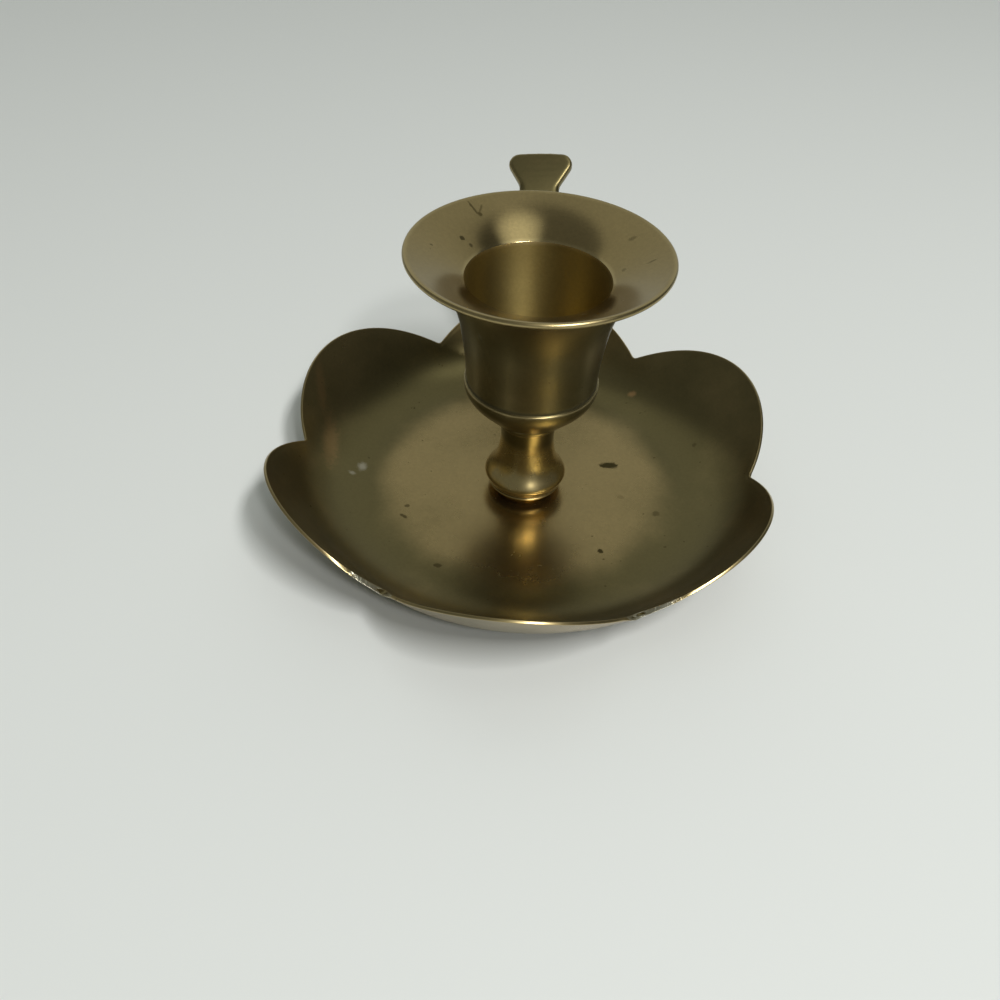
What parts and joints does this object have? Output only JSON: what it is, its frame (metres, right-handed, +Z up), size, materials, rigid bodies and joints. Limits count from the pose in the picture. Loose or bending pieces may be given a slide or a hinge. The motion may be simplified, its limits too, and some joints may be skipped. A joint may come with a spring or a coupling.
{
  "type": "chamberstick",
  "caption": "Low brass candle holder: a flared socket on a turned stem in a scalloped drip dish, with a finger loop and thumb plate.",
  "frame": {"origin": "on the candle's axis, in the plane that the foot ring stands on", "axes": "+Z up along the candle's axis, +Y towards the finger loop, +X to the right seen from the front"},
  "size_m": [0.0814, 0.1071, 0.0477],
  "materials": {
    "dish_brass": "aged, softly polished",
    "socket_brass": "aged, softly polished",
    "stem_brass": "aged, softly polished",
    "loop_brass": "aged, softly polished",
    "rivet_brass": "aged, softly polished",
    "screw_brass": "aged, softly polished",
    "washer_brass": "aged, softly polished"
  },
  "bodies": {
    "root": {"petal_dish": "dish_brass", "candle_cup": "socket_brass", "stem": "stem_brass", "stem_washer": "washer_brass", "stem_screw": "screw_brass", "finger_loop": "loop_brass", "loop_rivets": "rivet_brass"}
  },
  "joints": []
}
